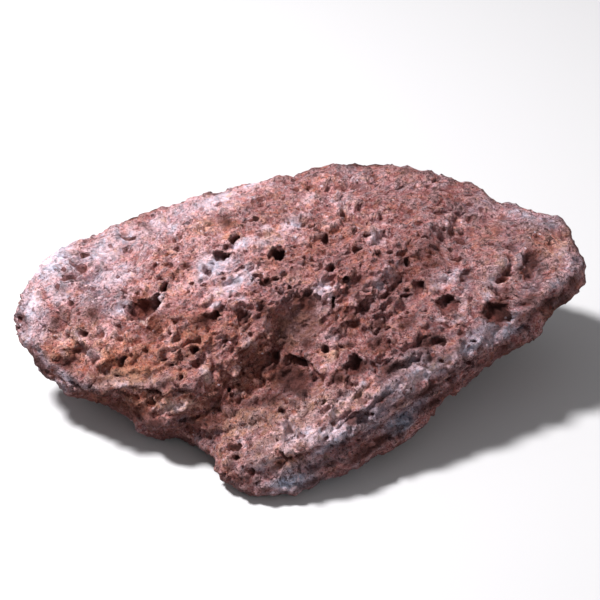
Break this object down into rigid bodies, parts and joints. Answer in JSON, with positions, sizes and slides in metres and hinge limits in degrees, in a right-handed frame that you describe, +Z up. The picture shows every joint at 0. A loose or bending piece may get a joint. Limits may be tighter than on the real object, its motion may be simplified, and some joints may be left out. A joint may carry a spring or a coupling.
{
  "type": "tufa stone",
  "caption": "Loose block of porous red tufa: a long wedge with a broad pitted sloping face, undercut edges and a flat worn underside.",
  "frame": {"origin": "on the ground under the middle of the stone's bounding box", "axes": "+Z up; +X along the stone's length, to the right when its broad sloping face is seen; -Y is the side the broad face looks out of"},
  "size_m": [0.2504, 0.1652, 0.0756],
  "materials": {
    "red_tufa": "matt, coarse and pitted, with pale pinkish bloom and greyish crusts"
  },
  "bodies": {
    "root": {"tufa_stone": "red_tufa"}
  },
  "joints": []
}
